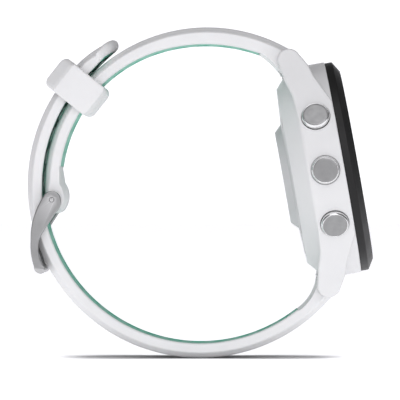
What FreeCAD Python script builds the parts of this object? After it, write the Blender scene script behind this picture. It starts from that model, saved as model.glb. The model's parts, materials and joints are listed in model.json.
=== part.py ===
"""GPS running watch, buckled, standing on its band.

Millimetres. +X points from the buckle to the display, -Y is the nine o'clock side, +Z is up.
The origin is on the ground under the middle of the watch.
The head is modelled in its own frame: +X to twelve o'clock, +Y to nine o'clock, +Z out of the display.
"""
import FreeCAD, Part
import math
import os

V = FreeCAD.Vector

# ---- driving dimensions ----
BEZEL_D = 41.7
STRAP_W = 18.0
TILT = 10.1                     # the display looks up by this many degrees
HEAD_X = 18.0                   # where the head's axis meets its back plane
HEAD_Z = 35.8
LOOP_X = -0.1                   # centre of the buckled loop
LOOP_R = 33.95                  # outside of the lower strap
LOOP_Z = LOOP_R

# ---- clearances ----
RUN = 0.05                      # radial clearance of pins and stems
SIDE = 0.15                     # strap to lug, each side
FREE = 0.3                      # between pieces that move past each other
THROUGH = 20.0                  # cutters along Y reach this far from the middle

# ---- head, heights above the back plane ----
BEZEL_R = BEZEL_D / 2.0
CASE_R = BEZEL_R + 0.25
CASE_WALL = 1.8
CAVITY_R = CASE_R - CASE_WALL
BACK_R = 17.4                   # flat of the back, before the slope to the wall
WALL_FOOT = 3.2                 # the slope ends and the wall begins
CASE_TOP = 10.2
HEAD_TOP = 12.95
CHAMFER_UP = 1.25
CHAMFER_IN = 2.0
FLOOR_TOP = 1.9                 # inside of the case's rear ledge
COVER_R = 16.85
COVER_TOP = 1.3
COVER_DOME = 0.4
BUMP_FOOT_R = 10.45
BUMP_TOP_R = 9.05
BUMP_BACK = -1.8
WINDOW_R = 8.15
WINDOW_T = 0.9
PORT_T = -13.2                  # charging port, between the bump and the cover's edge
PORT_L = 4.4
PORT_W = 7.5
CONTACT_R = 0.45
CONTACT_ROW = (-2.4, -0.8, 0.8, 2.4)
SENSOR_R = 7.4
LEDGE_R = 15.9
SCREW_RING = 14.6
SCREW_R = 0.7
SCREW_HEAD_R = 1.2
SCREW_HEAD_T = 0.5
SCREW_END = 3.0
BOSS_R = 1.7
BOSS_TOP = 3.6
COVER_HOLE_R = 8.6
GROOVE_D = 0.3
BACK_GROOVE = (16.15, 16.65)
FRONT_GROOVE = (19.9, 20.4)
PORT_WALL = 0.45
PORT_FLOOR = 1.9
PORT_TOP = 2.7

# ---- inside the head ----
ADHESIVE_T = 0.1
DISPLAY_R = 16.3
DISPLAY_BACK = 10.1
DISPLAY_T = 1.15
FLEX_T = 0.2
FLEX_AT = -13.2                 # the flex runs down here, from the panel to the board
FLEX_END = -10.0
FLEX_HALF = 4.0
BOARD_R = 16.3
BOARD_BACK = 5.3
BOARD_TOP = 5.9
BOARD_NOTCH = 13.4              # the board's edge is cut back to here over the charging port
NOTCH_HALF = 5.0
CHIPS = (                       # corner, length, width and height
    (-10, -9, 5, 4, 0.9),
    (-10, 4, 4, 4, 0.8),
    (8, -8, 3, 5, 0.7),
    (8.5, 2, 2.5, 2.5, 0.9),
    (-11, -2, 2, 3, 0.6),
)
CAN_X = (-5.0, 7.0)
CAN_HALF = 6.0
CAN_H = 1.5
CAN_WALL = 0.2
CARRIER_R = 16.7
CARRIER_BACK = 4.75
CARRIER_TOP = 5.25
CARRIER_HOLES = ((6.0, -6.0), (5.4, 8.0))    # radius and place
PARTITION_X = (-9.6, -8.8)      # rib of the carrier beside the battery
CELL_BACK = 1.95                # battery, motor and buzzer lie on the case's rear ledge
CELL_TOP = 4.7
BATTERY_X = (-8.7, 13.0)
BATTERY_HALF = 8.2
MOTOR_R = 3.5
MOTOR_Y = 13.2
BUZZER_BACK = 2.2
ANTENNA_R = (18.3, 19.2)
ANTENNA_N = (8.9, 9.8)
ANTENNA_GAP = 1.2
SENSOR_BOARD_R = 8.4
SENSOR_BOARD_HALF = 0.3
DIODE_BACK = -0.75
DIODE_RING = 5.2
DIODE_HALF = 0.9
DIODES = 8

# ---- lugs and spring bars, in the head's frame ----
BAR_T = 22.8                    # bar axis from the head's centre
BAR_N = 3.25
LUG_IN = STRAP_W / 2.0 + SIDE
LUG_TIP_R = 2.3
LUG_TIP_T = 22.4
FACET_DEG = 26.0                # the lug's flat leaves the round wall here
BAR_R = 0.75
BAR_BORE = 0.5
BAR_PIN = 0.42
BAR_HALF = 8.9
LUG_HOLE = 1.15
BAR_SPRING = (-4.0, -0.9)       # the inner spring's ends
TIP_GAP = 0.15                  # bar tip to the bottom of its hole
LEVER_END = (20.2, 1.35)        # where the lever points to, on the wrist side
LEVER_Y = -6.6
LEVER_W = 1.2
LEVER_T = 0.7
LEVER_TRAVEL = 1.2
STRAP_END = 0.4                 # strap end to case, for the band's flex
EDGE = 0.15                     # rounding of the head's crisp edges
LUG_ROUND = 0.45
LENS_R = 18.4
LENS_SEAT = 11.2
LENS_TOP = 12.75
BEZEL_IN = 16.6

# ---- buttons ----
BUTTON_N = 6.5
BUTTON_CAP_R = 2.75
BUTTON_RECESS_R = 2.87
BUTTON_FACE = 22.0
BUTTON_CAP_T = 1.1
BUTTON_FLOOR = 20.2
STEM_R = 0.875
STEM_END = 17.0
SLEEVE_R = 1.5
SLEEVE_END = 17.9
SLEEVE_BOSS_R = 2.2
SEAL_W = 0.35
SEAL_AT = (18.75, 19.25)
CLIP_R = 1.45
CLIP_AT = (17.45, 17.8)
NECK_R = 0.6
SWITCH_AT = (13.6, 16.1)
SWITCH_TIP = 16.4
SWITCH_HALF = (0.75, 1.7)
COIL_R = (1.4, 2.0)
CAP_CHAMFER = 0.28
BUTTONS = {"light": 60.0, "up": 90.0, "down": 120.0, "start": -60.0, "back": -120.0}

# ---- band ----
STRAP_T = 2.95
LINER_T = 0.35
LINER_HALF = 8.3                # the coloured layer stops short of the rounded edges
LOWER_IN = LOOP_R - STRAP_T
UPPER_IN = 27.6
UPPER_OUT = 30.5
UPPER_IN_BEND = 107.0           # the upper strap's radius grows past these directions
UPPER_OUT_BEND = 140.0
UPPER_IN_R2 = 31.4
UPPER_OUT_R2 = 32.4
UPPER_LINER = (70.6, 172.0)
LOWER_LINER = (123.5, 308.0)
TAIL_END = 120.0
TAIL_IN = 3.0                   # the tail's rounding begins this many degrees before its end, inside
TAIL_OUT = 5.0                  # and outside
TAIL_NOSE = 1.4                 # height of the tail's nose above its inner face
STRAP_CORNER = (19.9, 1.4)      # wrist-side corner of a strap's end, in the head's frame
HOLE_AT = 194.5                 # the hole that the tongue is in
HOLE_STEP = 10.5
HOLE_W = 2.3
HOLE_L = 3.6
PIN = (-29.0, -2.8)             # buckle pin, from the loop's centre
PIN_R = 0.75
FRAME_IN = STRAP_W / 2.0 + FREE
FRAME_W = 1.4
FRONT_TOP = -7.9                # the front bar starts here, below the pin
FRONT_LIP = -12.9               # and is open above here for the tongue
TONGUE_BOW = (-3.3, -7.65)      # the tongue passes here on its way
TONGUE_TIP = (-3.15, -13.3)     # and ends here, from the pin
EYE_R = 1.45
TONGUE_W = 2.1
TONGUE_T = 0.9
TONGUE_SLOT = 2.7
KEEPER_DEG = 141.5
KEEPER_W = 6.8
KEEPER_IN = 25.4
KEEPER_OUT = 36.6
KEEPER_SIDE = 10.7
KEEPER_ROUND = 1.3


def head_placement():
    """The head's frame in the watch's frame."""
    s = math.sin(math.radians(TILT))
    c = math.cos(math.radians(TILT))
    matrix = FreeCAD.Matrix(-s, 0, c, HEAD_X, 0, -1, 0, 0, c, 0, s, HEAD_Z, 0, 0, 0, 1)
    return FreeCAD.Placement(matrix)


HEAD = head_placement()


# ---- helpers ----
def save(name, shape):
    """Write one node's solids."""
    if not shape.isValid():
        print("INVALID", name)
    shape.exportStep("parts/" + name + ".step")
    print(f"{name:20s} solids {len(shape.Solids)}  volume {shape.Volume:.2f}")


def in_head(shape):
    """Move a shape from the head's frame to the watch's frame."""
    moved = shape.copy()
    moved.Placement = HEAD.multiply(moved.Placement)
    return moved


def save_head(name, shape):
    save(name, in_head(shape))


def head_point(t, n):
    """(X, Z) of a point of the head's middle plane, t towards twelve and n above the back."""
    p = HEAD.multVec(V(t, 0, n))
    return (p.x, p.z)


def disc(r, z0, z1, x=0.0, y=0.0):
    return Part.makeCylinder(r, z1 - z0, V(x, y, z0))


def ring(r_in, r_out, z0, z1):
    return disc(r_out, z0, z1).cut(disc(r_in, z0 - 1, z1 + 1))


def box(x0, x1, y0, y1, z0, z1):
    return Part.makeBox(x1 - x0, y1 - y0, z1 - z0, V(x0, y0, z0))


def revolve(corners):
    """Turn a closed outline of (radius, height, rounding) corners about Z."""
    return rounded_outline(corners).revolve(V(0, 0, 0), V(0, 0, 1), 360)


def outline(start, steps):
    """Face in the XZ plane: a step of one point is a line, a step of two is an arc through the first."""
    edges = []
    here = V(start[0], 0, start[1])
    for step in steps:
        end = V(step[-1][0], 0, step[-1][1])
        if len(step) == 2:
            middle = V(step[0][0], 0, step[0][1])
            edges.append(Part.Arc(here, middle, end).toShape())
        else:
            edges.append(Part.LineSegment(here, end).toShape())
        here = end
    first = V(start[0], 0, start[1])
    if here.distanceToPoint(first) > 1e-6:
        edges.append(Part.LineSegment(here, first).toShape())
    return Part.Face(Part.Wire(edges))


def rounded_outline(corners):
    """Face in the XZ plane from (x, z, radius) corners, each rounded by its own radius."""
    here = []
    count = len(corners)
    for i, (x, z, radius) in enumerate(corners):
        point = V(x, 0, z)
        before = V(corners[i - 1][0], 0, corners[i - 1][1])
        after = V(corners[(i + 1) % count][0], 0, corners[(i + 1) % count][1])
        if radius == 0:
            here.append((point, None, point))
            continue
        to_before = (before - point).normalize()
        to_after = (after - point).normalize()
        half = to_before.getAngle(to_after) / 2
        inwards = (to_before + to_after).normalize()
        reach = radius / math.tan(half)
        middle = point + inwards * (radius / math.sin(half) - radius)
        here.append((point + to_before * reach, middle, point + to_after * reach))
    edges = []
    for i, (start, middle, end) in enumerate(here):
        if middle is not None:
            edges.append(Part.Arc(start, middle, end).toShape())
        following = here[(i + 1) % count][0]
        if end.distanceToPoint(following) > 1e-6:
            edges.append(Part.LineSegment(end, following).toShape())
    return Part.Face(Part.Wire(edges))


def slab(face, y0, y1):
    """Extrude a face of the XZ plane from y0 to y1."""
    lifted = face.copy()
    lifted.translate(V(0, y0, 0))
    return lifted.extrude(V(0, y1 - y0, 0))


def polar(radius, degrees, centre=(LOOP_X, LOOP_Z)):
    """(X, Z) at a radius and direction from a centre, by default the loop's."""
    a = math.radians(degrees)
    return (centre[0] + radius * math.cos(a), centre[1] + radius * math.sin(a))


def arc_step(radius, a0, a1, centre=(LOOP_X, LOOP_Z)):
    """An outline step along a circle from direction a0 to a1."""
    return (polar(radius, (a0 + a1) / 2, centre), polar(radius, a1, centre))


def band_sector(r_in, r_out, a0, a1, centre=(LOOP_X, LOOP_Z)):
    """Face between two radii and two directions."""
    start = polar(r_in, a0, centre)
    steps = [arc_step(r_in, a0, a1, centre), (polar(r_out, a1, centre),), arc_step(r_out, a1, a0, centre)]
    return outline(start, steps)


def from_loop(offset):
    return (LOOP_X + offset[0], LOOP_Z + offset[1])


def y_rod(r, point, y0, y1):
    """Round rod along Y at an (X, Z) point."""
    return Part.makeCylinder(r, y1 - y0, V(point[0], y0, point[1]), V(0, 1, 0))


def radial(shape, degrees, n=BUTTON_N):
    """Turn a shape built along Z to run outwards in a direction of the head, at height n."""
    turned = shape.copy()
    turned.rotate(V(0, 0, 0), V(0, 1, 0), 90)
    turned.rotate(V(0, 0, 0), V(0, 0, 1), degrees)
    turned.translate(V(0, 0, n))
    return turned


# ---- case ----
def lug_blank(t_sign, y_sign):
    """One lug: its side profile, cut to the flat that leaves the round wall."""
    profile = outline((9.0, 3.15), [
        ((15.5, 2.7),),
        ((18.9, 1.75),),
        ((LUG_TIP_T, BAR_N - LUG_TIP_R + 0.1),),
        ((LUG_TIP_T + LUG_TIP_R, BAR_N + 0.1), (LUG_TIP_T + 0.97, BAR_N + 2.18)),
        ((20.9, 6.85),),
        ((18.4, 7.6),),
        ((13.0, CASE_TOP),),
        ((9.0, CASE_TOP),),
    ])
    solid = slab(profile, LUG_IN, CASE_R)
    a = math.radians(FACET_DEG)
    x0 = CASE_R * math.sin(a)
    y0 = CASE_R * math.cos(a)
    x1 = 27.0
    y1 = y0 - (x1 - x0) * math.tan(a)
    plan = [V(0, 0, 0), V(x0, y0, 0), V(x1, y1, 0), V(x1, 0, 0), V(0, 0, 0)]
    prism = Part.Face(Part.makePolygon(plan)).extrude(V(0, 0, CASE_TOP))
    solid = solid.common(prism)
    flat = V(math.sin(a), math.cos(a), 0)
    rims = [
        edge for edge in solid.Edges
        if all(abs(v.Point.dot(flat) - CASE_R) < 1e-4 for v in edge.Vertexes) and edge.CenterOfMass.x > 10
        and edge.BoundBox.XLength > 0.05
    ]
    solid = solid.makeFillet(LUG_ROUND, rims)
    if t_sign < 0:
        solid = solid.mirror(V(0, 0, 0), V(1, 0, 0))
    if y_sign < 0:
        solid = solid.mirror(V(0, 0, 0), V(0, 1, 0))
    return solid


def screw_places():
    """Centres of the four back screws."""
    reach = SCREW_RING * math.sqrt(0.5)
    return [(sx * reach, sy * reach) for sx in (-1, 1) for sy in (-1, 1)]


def case():
    """White shell with lugs, button bosses, ledges for the cover and grooves for the gaskets."""
    body = revolve([
        (0, 0, 0), (BACK_R, 0, 0.3), (CASE_R, WALL_FOOT, 0.8), (CASE_R, CASE_TOP, EDGE), (0, CASE_TOP, 0),
    ])
    lugs = [lug_blank(t, y) for t in (-1, 1) for y in (-1, 1)]
    body = body.fuse(lugs)
    body = body.cut(disc(CAVITY_R, FLOOR_TOP, CASE_TOP + 1))
    bosses = [disc(BOSS_R, COVER_TOP, BOSS_TOP, x, y) for x, y in screw_places()]
    inner = [radial(disc(SLEEVE_BOSS_R, SLEEVE_END, CAVITY_R + FREE), a) for a in BUTTONS.values()]
    body = body.cut(disc(LEDGE_R, -1, FLOOR_TOP + 0.5))
    body = body.fuse(bosses + inner)
    cuts = [disc(COVER_R, -1, COVER_TOP)]
    cuts.append(ring(*BACK_GROOVE, COVER_TOP, COVER_TOP + GROOVE_D))
    cuts.append(ring(*FRONT_GROOVE, CASE_TOP - GROOVE_D, CASE_TOP))
    for x, y in screw_places():
        cuts.append(disc(SCREW_R, 0, SCREW_END + 0.2, x, y))
    for a in BUTTONS.values():
        cuts.append(radial(disc(BUTTON_RECESS_R, BUTTON_FLOOR, 24), a))
        cuts.append(radial(disc(SLEEVE_R, SLEEVE_END - 1, BUTTON_FLOOR + 1), a))
    for t in (-BAR_T, BAR_T):
        for y0 in (-LUG_IN - LUG_HOLE, LUG_IN):
            rod = Part.makeCylinder(BAR_PIN + RUN, LUG_HOLE, V(t, y0, BAR_N), V(0, 1, 0))
            cuts.append(rod)
    for cut in cuts:
        body = body.cut(cut)
    return body


def bezel():
    """Black ring with a chamfered rim that holds the lens."""
    return revolve([
        (BEZEL_IN, CASE_TOP, 0), (BEZEL_R, CASE_TOP, EDGE), (BEZEL_R, HEAD_TOP - CHAMFER_UP, 0.3),
        (BEZEL_R - CHAMFER_IN, HEAD_TOP, EDGE), (LENS_R + RUN, HEAD_TOP, 0.1),
        (LENS_R + RUN, LENS_SEAT, 0), (BEZEL_IN, LENS_SEAT, 0),
    ])


def back_cover():
    """Domed cover with the sensor bump, window seat, port opening and screw holes."""
    cover = revolve([
        (0, COVER_TOP, 0), (COVER_R, COVER_TOP, 0), (COVER_R, 0, EDGE), (BUMP_FOOT_R, -COVER_DOME, 0.6),
        (BUMP_TOP_R, BUMP_BACK, 0.35), (0, BUMP_BACK, 0),
    ])
    cover = cover.cut(disc(WINDOW_R + RUN, BUMP_BACK - 1, BUMP_BACK + WINDOW_T))
    cover = cover.cut(disc(SENSOR_R, BUMP_BACK, 0))
    cover = cover.cut(disc(COVER_HOLE_R, -SENSOR_BOARD_HALF, COVER_TOP + 1))
    cover = cover.cut(port_block(RUN, -2, 2))
    for x, y in screw_places():
        cover = cover.cut(disc(SCREW_R, -1, COVER_TOP + 1, x, y))
        cover = cover.cut(disc(SCREW_HEAD_R, -1, SCREW_HEAD_T + RUN, x, y))
    return cover


def back_screws():
    """Four screws: head in the cover's counterbore, thread in the case's boss."""
    screws = []
    for x, y in screw_places():
        head = disc(SCREW_HEAD_R - RUN, RUN, SCREW_HEAD_T + RUN, x, y)
        slot = box(x - 0.8, x + 0.8, y - 0.15, y + 0.15, 0, SCREW_HEAD_T / 2)
        screws.append(head.cut(slot).fuse(disc(SCREW_R - RUN, SCREW_HEAD_T, SCREW_END, x, y)))
    return Part.makeCompound(screws)


def port_block(grow, z0, z1):
    """The charging port's outline, grown by a clearance, between two heights."""
    half_l = PORT_L / 2 + grow
    half_w = PORT_W / 2 + grow
    return box(PORT_T - half_l, PORT_T + half_l, -half_w, half_w, z0, z1)


def charge_port():
    """Plastic cup in the back cover; its floor carries the contacts."""
    cup = port_block(0, -0.1, PORT_TOP).cut(port_block(-PORT_WALL, -1, PORT_FLOOR))
    for y in CONTACT_ROW:
        cup = cup.cut(disc(CONTACT_R, PORT_FLOOR - 1, PORT_TOP + 1, PORT_T, y))
    return cup


def charge_contacts():
    """Four pins that stand proud of the port's floor and of its back."""
    pins = [disc(CONTACT_R, PORT_FLOOR - 0.5, PORT_TOP + 0.3, PORT_T, y) for y in CONTACT_ROW]
    return Part.makeCompound(pins)


def shell_pieces():
    """Case, bezel, cover and what closes them."""
    save_head("case", case())
    save_head("bezel", bezel())
    save_head("back_cover", back_cover())
    save_head("back_screws", back_screws())
    save_head("charge_port", charge_port())
    save_head("charge_contacts", charge_contacts())
    inner, outer = FRONT_GROOVE
    save_head("bezel_gasket", ring(inner + RUN, outer - RUN, CASE_TOP - GROOVE_D, CASE_TOP))
    inner, outer = BACK_GROOVE
    save_head("back_gasket", ring(inner + RUN, outer - RUN, COVER_TOP, COVER_TOP + GROOVE_D))


def display_pieces():
    """Lens on its adhesive ring, the panel, and the flex down to the board."""
    lens_back = LENS_SEAT + ADHESIVE_T
    lens = revolve([(0, lens_back, 0), (LENS_R, lens_back, 0), (LENS_R, LENS_TOP, 0.3), (0, LENS_TOP, 0)])
    save_head("lens", lens)
    save_head("lens_gasket", ring(LENS_R - 1.5, LENS_R - 0.1, LENS_SEAT, lens_back))
    save_head("display_panel", disc(DISPLAY_R, DISPLAY_BACK, DISPLAY_BACK + DISPLAY_T))
    bend = FLEX_AT + FLEX_T
    flex = box(FLEX_AT, bend, -FLEX_HALF, FLEX_HALF, BOARD_TOP, DISPLAY_BACK)
    flex = flex.fuse(box(bend, FLEX_END, -FLEX_HALF, FLEX_HALF, DISPLAY_BACK - FLEX_T, DISPLAY_BACK))
    save_head("display_flex", flex)


def board_pieces():
    """Main board with its chips and shield, and the carrier that it lies on."""
    carrier = disc(CARRIER_R, CARRIER_BACK, CARRIER_TOP)
    for radius, x in CARRIER_HOLES:
        carrier = carrier.cut(disc(radius, CARRIER_BACK - 1, CARRIER_TOP + 1, x, 0))
    partition = box(*PARTITION_X, -BATTERY_HALF, BATTERY_HALF, FLOOR_TOP + 0.1, CARRIER_BACK + 0.05)
    save_head("inner_frame", carrier.fuse(partition))
    notch = box(-BOARD_R - 1, -BOARD_NOTCH, -NOTCH_HALF, NOTCH_HALF, BOARD_BACK - 1, BOARD_TOP + 1)
    save_head("main_board", disc(BOARD_R, BOARD_BACK, BOARD_TOP).cut(notch))
    chips = [box(x, x + w, y, y + d, BOARD_TOP, BOARD_TOP + h) for x, y, w, d, h in CHIPS]
    save_head("board_chips", Part.makeCompound(chips))
    low, high = CAN_X
    top = BOARD_TOP + CAN_H
    can = box(low, high, -CAN_HALF, CAN_HALF, BOARD_TOP, top)
    inner_half = CAN_HALF - CAN_WALL
    inside = box(low + CAN_WALL, high - CAN_WALL, -inner_half, inner_half, BOARD_TOP - 1, top - CAN_WALL)
    save_head("shield_can", can.cut(inside))


def cell_pieces():
    """Battery, vibration motor, buzzer and the antenna ring round the board."""
    save_head("battery", box(*BATTERY_X, -BATTERY_HALF, BATTERY_HALF, CELL_BACK, CELL_TOP))
    save_head("vibration_motor", disc(MOTOR_R, CELL_BACK, CELL_TOP, 0, MOTOR_Y))
    save_head("buzzer", disc(MOTOR_R, BUZZER_BACK, CELL_TOP, 0, -MOTOR_Y))
    low, high = ANTENNA_N
    gap = box(-ANTENNA_R[1] - 1, -ANTENNA_R[0] + 1, -ANTENNA_GAP, ANTENNA_GAP, low - 1, high + 1)
    save_head("antenna_ring", ring(*ANTENNA_R, low, high).cut(gap))


def sensor_pieces():
    """Window, board and diodes of the wrist sensor."""
    save_head("sensor_window", disc(WINDOW_R, BUMP_BACK, BUMP_BACK + WINDOW_T))
    save_head("sensor_board", disc(SENSOR_BOARD_R, -SENSOR_BOARD_HALF, SENSOR_BOARD_HALF))
    diodes = [box(-1, 1, -1, 1, DIODE_BACK, -SENSOR_BOARD_HALF)]
    for step in range(DIODES):
        a = math.radians(360 / DIODES * step)
        x = DIODE_RING * math.cos(a)
        y = DIODE_RING * math.sin(a)
        left, right = x - DIODE_HALF, x + DIODE_HALF
        diodes.append(box(left, right, y - DIODE_HALF, y + DIODE_HALF, DIODE_BACK, -SENSOR_BOARD_HALF))
    save_head("sensor_diodes", Part.makeCompound(diodes))


# ---- buttons ----
def button_pieces():
    """Sleeves, seals and switches as groups; cap, clip and spring of each button on their own."""
    sleeve = disc(SLEEVE_R, SLEEVE_END, BUTTON_FLOOR).cut(disc(STEM_R + RUN, STEM_END, BUTTON_FLOOR + 1))
    low, high = SEAL_AT
    sleeve = sleeve.cut(disc(STEM_R + SEAL_W, low - RUN, high + RUN))
    seal = disc(STEM_R + SEAL_W, low, high).cut(disc(STEM_R + 0.01, low - 1, high + 1))
    across, along = SWITCH_HALF
    switch = box(-across, across, -along, along, *SWITCH_AT).fuse(disc(NECK_R, SWITCH_AT[1], SWITCH_TIP))
    angles = BUTTONS.values()
    save_head("button_sleeves", Part.makeCompound([radial(sleeve, a) for a in angles]))
    save_head("button_seals", Part.makeCompound([radial(seal, a) for a in angles]))
    save_head("tact_switches", Part.makeCompound([radial(switch, a, BUTTON_N + 0.2) for a in angles]))
    cap_back = BUTTON_FACE - BUTTON_CAP_T
    cap = disc(BUTTON_CAP_R, cap_back, BUTTON_FACE)
    rim = [edge for edge in cap.Edges if abs(edge.BoundBox.ZMin - BUTTON_FACE) < 1e-6]
    cap = cap.makeChamfer(CAP_CHAMFER, [edge for edge in rim if edge.BoundBox.ZLength < 1e-6])
    low, high = CLIP_AT
    bore = disc(NECK_R, low - 1, high + 1)
    neck = disc(STEM_R, low - RUN, high + RUN).cut(bore)
    cap = cap.fuse(disc(STEM_R, STEM_END, cap_back)).cut(neck)
    mouth = box(-0.5, 0.5, 0, CLIP_R + 1, low - 1, high + 1)
    clip = disc(CLIP_R, low, high).cut(bore).cut(mouth)
    coil_in, coil_out = COIL_R
    spring = disc(coil_out, BUTTON_FLOOR, cap_back).cut(disc(coil_in, BUTTON_FLOOR - 1, cap_back + 1))
    for name, angle in BUTTONS.items():
        save_head(name + "_button", radial(cap, angle))
        save_head(name + "_clip", radial(clip, angle))
        save_head(name + "_spring", radial(spring, angle))


# ---- spring bars ----
def lever_slab(t_sign, extra, half, y0, y1):
    """Flat arm from the bar towards the wrist side.

    Given: extra reach past LEVER_END, half thickness and Y ends.
    """
    bar = V(t_sign * BAR_T, 0, BAR_N)
    end = V(t_sign * LEVER_END[0], 0, LEVER_END[1])
    along = (end - bar).normalize()
    across = V(-along.z, 0, along.x) * half
    far = end + along * extra
    corners = [head_point(c.x, c.z) for c in (bar - across, far - across, far + across, bar + across)]
    return slab(outline(corners[0], [(c,) for c in corners[1:]]), y0, y1)


def spring_bar(name, t_sign):
    """Tube with its fixed tip, inner spring, and plunger with the quick-release lever."""
    bar = head_point(t_sign * BAR_T, BAR_N)
    tip = LUG_IN + LUG_HOLE - TIP_GAP
    spring_low, spring_high = BAR_SPRING
    tube = y_rod(BAR_R, bar, -BAR_HALF, BAR_HALF)
    tube = tube.cut(y_rod(BAR_BORE, bar, -BAR_HALF - 1, spring_high))
    tube = tube.fuse(y_rod(BAR_PIN, bar, BAR_HALF, tip))
    y0 = LEVER_Y - LEVER_W / 2
    y1 = LEVER_Y + LEVER_W / 2
    slot = lever_slab(t_sign, 1, LEVER_T / 2 + 0.1, y0 - SIDE, y1 + LEVER_TRAVEL + SIDE)
    tube = tube.cut(slot)
    lever = y_rod(BAR_PIN, bar, -tip, spring_low)
    lever = lever.fuse(lever_slab(t_sign, 0, LEVER_T / 2, y0, y1))
    spring = y_rod(BAR_BORE - 0.02, bar, spring_low, spring_high)
    spring = spring.cut(y_rod(0.25, bar, spring_low - 1, spring_high + 1))
    save(name + "_bar_tube", tube)
    save(name + "_bar_spring", spring)
    save(name + "_bar_lever", lever)


# ---- band ----
def strap_space(t_sign):
    """What a strap end leaves free: the case with a gap, the bar and the lever's slot."""
    near = STRAP_END
    case_zone = revolve([
        (0, -near, 0), (BACK_R + near, -near, 0), (CASE_R + near, WALL_FOOT - near, 0),
        (CASE_R + near, CASE_TOP, 0), (0, CASE_TOP, 0),
    ])
    bar = head_point(t_sign * BAR_T, BAR_N)
    y0 = LEVER_Y - LEVER_W / 2 - FREE
    y1 = LEVER_Y + LEVER_W / 2 + LEVER_TRAVEL + FREE
    slot = lever_slab(t_sign, 2, LEVER_T / 2 + 0.25, y0, y1)
    return [in_head(case_zone), y_rod(BAR_R + RUN, bar, -THROUGH, THROUGH), slot]


def strap_hole(degrees):
    """Oval hole through the lower strap, long along the strap."""
    half = (HOLE_L - HOLE_W) / 2
    ends = [Part.makeCylinder(HOLE_W / 2, 6, V(x, 0, LOWER_IN - 1)) for x in (-half, half)]
    middle = box(-half, half, -HOLE_W / 2, HOLE_W / 2, LOWER_IN - 1, LOWER_IN + 5)
    hole = ends[0].fuse(ends[1:] + [middle])
    hole.rotate(V(0, 0, 0), V(0, 1, 0), 90 - degrees)
    hole.translate(V(LOOP_X, 0, LOOP_Z))
    return hole


def lower_strap():
    """Long strap with the holes, from the lower lugs round the outside of the loop to its tip."""
    bar = head_point(-BAR_T, BAR_N)
    bar_deg = math.degrees(math.atan2(bar[1] - LOOP_Z, bar[0] - LOOP_X)) + 360
    barrel = LOOP_R - math.hypot(bar[0] - LOOP_X, bar[1] - LOOP_Z)
    corner_t, corner_n = STRAP_CORNER
    face = outline(polar(LOOP_R, bar_deg), [
        (polar(barrel, bar_deg + 60, bar), polar(barrel, bar_deg + 120, bar)),
        (head_point(-corner_t, corner_n),),
        (polar(LOWER_IN - 0.3, 315), polar(LOWER_IN, LOWER_LINER[1])),
        arc_step(LOWER_IN, LOWER_LINER[1], TAIL_END + TAIL_IN),
        (polar(LOWER_IN + TAIL_NOSE, TAIL_END), polar(LOOP_R, TAIL_END + TAIL_OUT)),
        arc_step(LOOP_R, TAIL_END + TAIL_OUT, bar_deg),
    ])
    strap = slab(face, -STRAP_W / 2, STRAP_W / 2)
    for cut in strap_space(-1):
        strap = strap.cut(cut)
    liner = slab(band_sector(LOWER_IN, LOWER_IN + LINER_T, *LOWER_LINER), -LINER_HALF, LINER_HALF)
    strap = strap.cut(liner)
    holes = [strap_hole(HOLE_AT + HOLE_STEP * k) for k in range(-5, 6)]
    holes.append(slab(tongue_bar(TONGUE_T / 2 + 0.3), -HOLE_W / 2, HOLE_W / 2))
    for hole in holes:
        strap = strap.cut(hole)
        liner = liner.cut(hole)
    save("strap_lower", strap)
    save("strap_lower_liner", liner)


def grown_centre(bend, r1, r2):
    """Centre of the circle of radius r2 that touches the loop's circle of radius r1 at a direction."""
    return polar(r1 - r2, bend)


def upper_strap():
    """Short strap from the upper lugs round the inside of the loop to the buckle pin."""
    bar = head_point(BAR_T, BAR_N)
    out_centre = grown_centre(UPPER_OUT_BEND, UPPER_OUT, UPPER_OUT_R2)
    in_centre = grown_centre(UPPER_IN_BEND, UPPER_IN, UPPER_IN_R2)
    bar_deg = math.degrees(math.atan2(bar[1] - out_centre[1], bar[0] - out_centre[0]))
    barrel = UPPER_OUT_R2 - math.hypot(bar[0] - out_centre[0], bar[1] - out_centre[1])
    pin = from_loop(PIN)

    def near_pin(x, z):
        return (pin[0] + x, pin[1] + z)

    corner_t, corner_n = STRAP_CORNER
    first_deg, last_deg = UPPER_LINER
    face = outline(polar(UPPER_OUT_R2, bar_deg, out_centre), [
        (polar(barrel, bar_deg - 60, bar), polar(barrel, bar_deg - 120, bar)),
        (head_point(corner_t, corner_n),),
        (polar(UPPER_IN_R2 - 0.7, 66, in_centre), polar(UPPER_IN_R2, first_deg, in_centre)),
        arc_step(UPPER_IN_R2, first_deg, UPPER_IN_BEND, in_centre),
        arc_step(UPPER_IN, UPPER_IN_BEND, 173),
        (near_pin(2.1, 3.3),),
        (near_pin(2.95, 0.7), near_pin(2.0, -2.1)),
        (near_pin(0.4, -2.7), near_pin(-1.5, -1.2)),
        (near_pin(-1.55, 2.0),),
        (polar(UPPER_OUT, 178),),
        arc_step(UPPER_OUT, 178, UPPER_OUT_BEND),
        arc_step(UPPER_OUT_R2, UPPER_OUT_BEND, bar_deg, out_centre),
    ])
    strap = slab(face, -STRAP_W / 2, STRAP_W / 2)
    for cut in strap_space(1):
        strap = strap.cut(cut)
    strap = strap.cut(y_rod(PIN_R, pin, -THROUGH, THROUGH))
    strap = strap.cut(box(pin[0] - 5, pin[0] + 5, -TONGUE_SLOT / 2, TONGUE_SLOT / 2, pin[1] - 5, pin[1] + 2))
    first = band_sector(UPPER_IN, UPPER_IN + LINER_T, UPPER_IN_BEND, last_deg)
    second = band_sector(UPPER_IN_R2, UPPER_IN_R2 + LINER_T, first_deg, UPPER_IN_BEND, in_centre)
    liner = slab(first, -LINER_HALF, LINER_HALF).fuse(slab(second, -LINER_HALF, LINER_HALF))
    save("strap_upper", strap.cut(liner))
    save("strap_upper_liner", liner.removeSplitter())


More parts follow.
